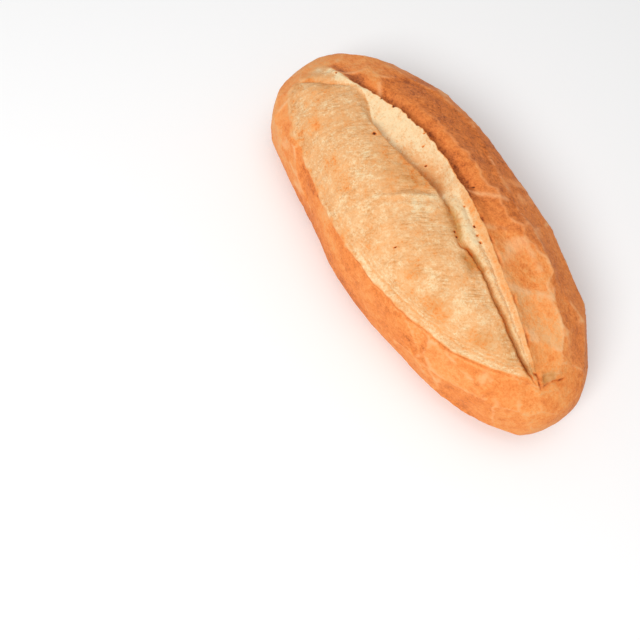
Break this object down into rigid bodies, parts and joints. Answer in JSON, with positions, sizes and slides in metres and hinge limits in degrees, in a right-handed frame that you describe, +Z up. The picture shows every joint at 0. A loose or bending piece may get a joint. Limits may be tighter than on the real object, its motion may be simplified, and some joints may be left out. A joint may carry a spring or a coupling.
{
  "type": "white bread loaf",
  "caption": "Crusty white bread loaf with a lengthwise score: pale domed flap, cream recess, raised lip of crust and golden brown sides, on a flat base",
  "frame": {"origin": "middle of the loaf's length and width, on the flat base it stands on", "axes": "+X along the loaf, to the end where the score ends in a small tear; +Y to the browner side, behind the raised lip; +Z up"},
  "size_m": [0.2804, 0.1254, 0.0789],
  "materials": {
    "crust": "baked bread crust, matte with a faint sheen: golden orange-brown sides, straw-coloured flap, cream recess"
  },
  "bodies": {
    "root": {"loaf": "crust"}
  },
  "joints": []
}
